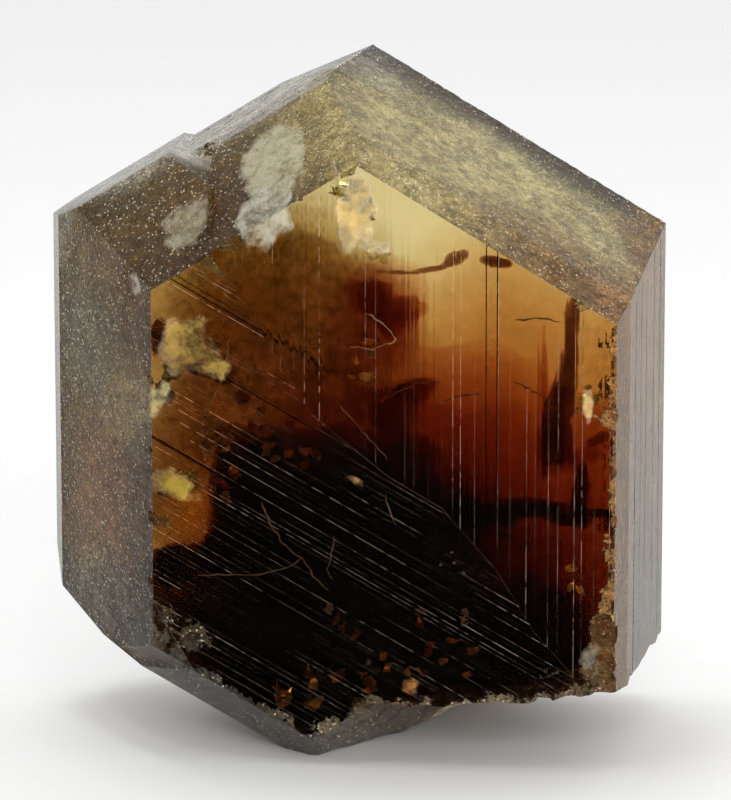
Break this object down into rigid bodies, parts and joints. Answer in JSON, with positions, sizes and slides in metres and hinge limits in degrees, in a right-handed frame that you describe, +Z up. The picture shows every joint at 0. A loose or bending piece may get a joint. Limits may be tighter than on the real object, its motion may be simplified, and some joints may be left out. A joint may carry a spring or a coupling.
{
  "type": "chrysoberyl twin crystal",
  "caption": "Clear amber-brown twinned crystal: a six-sided slab with striated broad faces, frosted bevels, a notch and a broken base.",
  "frame": {"origin": "middle of the crystal's box at the level of the surface it stands on", "axes": "+Z up, along the crystal's height; the broad striated face looks along -Y; +X to that face's right, towards the glossy side face"},
  "size_m": [0.0272, 0.0146, 0.0299],
  "materials": {
    "chrysoberyl": "clear amber-brown crystal, glossy and striated on the broad faces, frosted on the bevels"
  },
  "bodies": {
    "root": {"twin_crystal": "chrysoberyl"}
  },
  "joints": []
}
